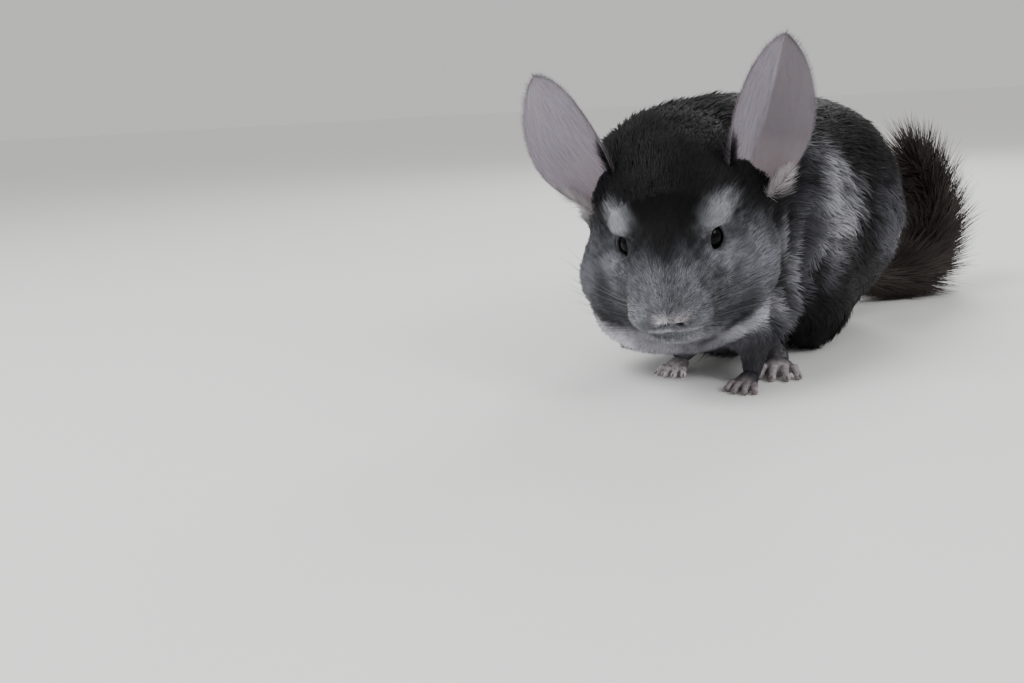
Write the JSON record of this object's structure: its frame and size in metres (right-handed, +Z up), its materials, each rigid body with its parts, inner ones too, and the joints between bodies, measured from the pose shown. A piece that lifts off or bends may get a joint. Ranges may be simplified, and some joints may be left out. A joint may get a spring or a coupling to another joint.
{
  "type": "chinchilla figure",
  "caption": "Life-size crouching chinchilla with a rounded body, large cupped ears, small paws and a bushy tail curled up beside the rump.",
  "frame": {"origin": "middle of the bounding box's bottom face, on the floor", "axes": "+X to the animal's left, +Y towards its tail, +Z up"},
  "size_m": [0.1054, 0.2808, 0.1292],
  "materials": {
    "coat_black": "soft dense fur",
    "coat_grey": "soft dense fur",
    "ear_skin": "thin bare skin",
    "eye": "wet and glossy",
    "paw_skin": "thinly haired skin",
    "tail_hair": "long bristly hair"
  },
  "bodies": {
    "root": {"head": "coat_grey", "neck": "coat_black", "torso": "coat_black", "tail_base": "coat_grey", "tail_brush": "tail_hair", "tail_tip": "tail_hair", "ear_left": "ear_skin", "eye_left": "eye", "foreleg_left": "coat_grey", "forepaw_left": "paw_skin", "hindleg_left": "coat_black", "hindfoot_left": "paw_skin", "ear_right": "ear_skin", "eye_right": "eye", "foreleg_right": "coat_grey", "forepaw_right": "paw_skin", "hindleg_right": "coat_black", "hindfoot_right": "paw_skin"}
  },
  "joints": []
}
